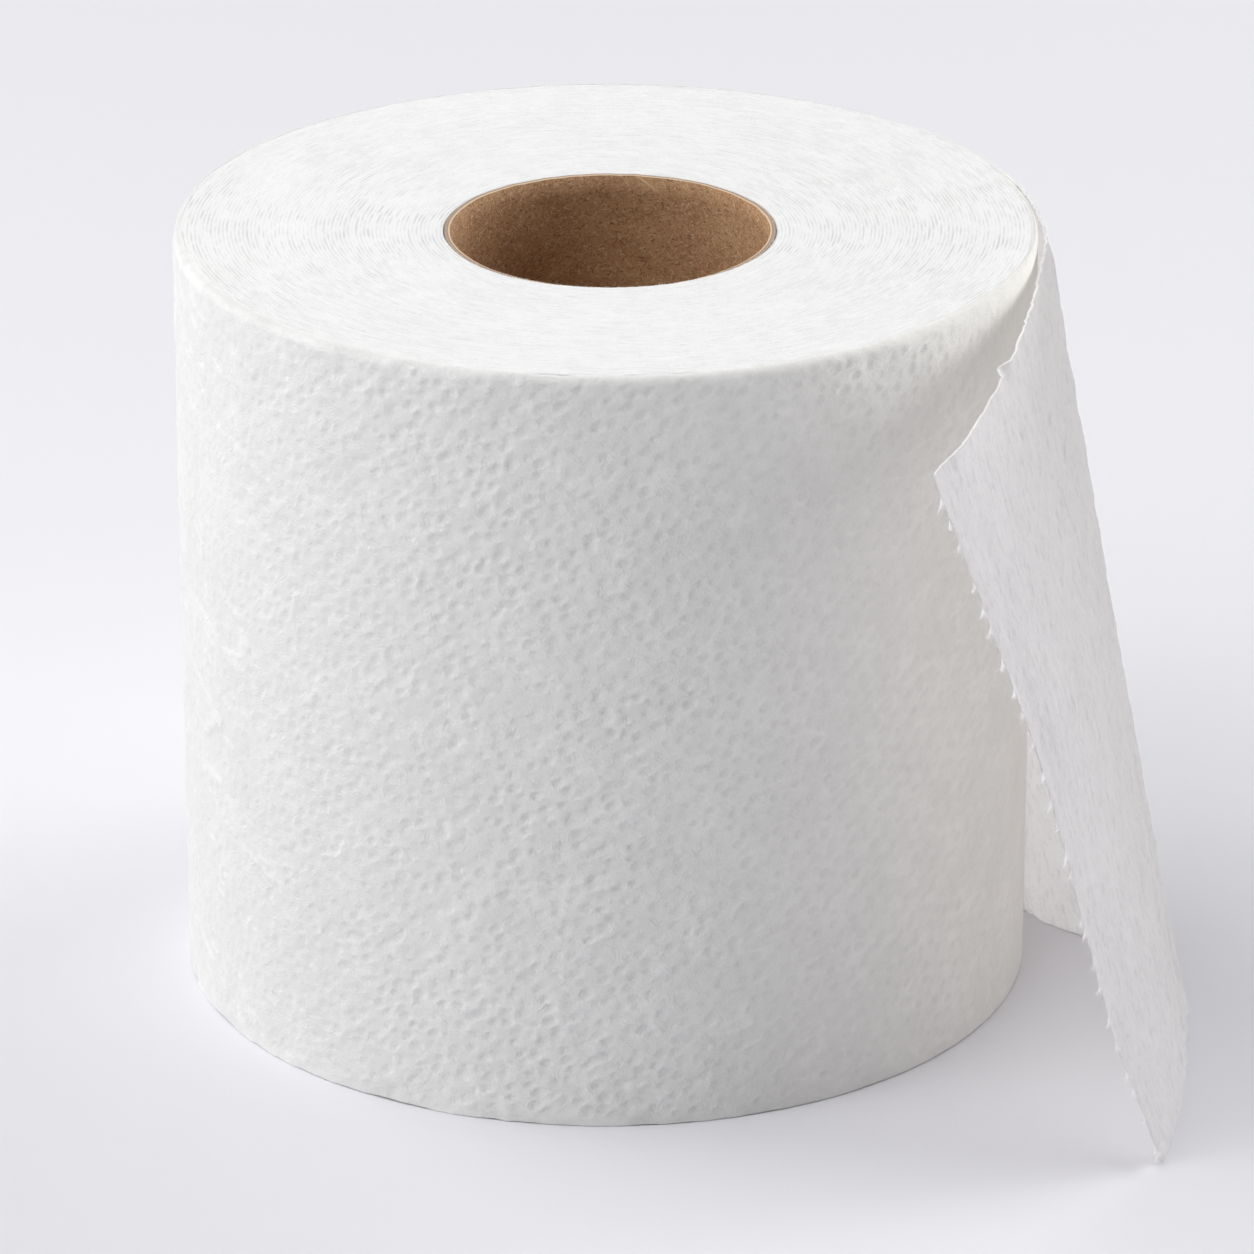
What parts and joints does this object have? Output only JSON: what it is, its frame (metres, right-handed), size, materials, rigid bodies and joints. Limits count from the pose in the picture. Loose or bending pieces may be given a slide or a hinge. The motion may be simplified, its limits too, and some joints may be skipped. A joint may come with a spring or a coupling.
{
  "type": "toilet paper roll",
  "caption": "White embossed tissue wound on a brown board tube, standing on its end, with its torn last sheet hanging loose.",
  "frame": {"origin": "on the axis of the board tube, at the lower end of the roll", "axes": "+Z along the tube, upwards; the loose sheet hangs on the +X side and its torn end points to -Y"},
  "size_m": [0.1295, 0.1276, 0.1],
  "materials": {
    "brown_board": "matt grey-brown recycled board",
    "white_tissue": "soft white embossed tissue"
  },
  "bodies": {
    "root": {"cardboard_core": "brown_board", "tissue_paper": "white_tissue"}
  },
  "joints": []
}
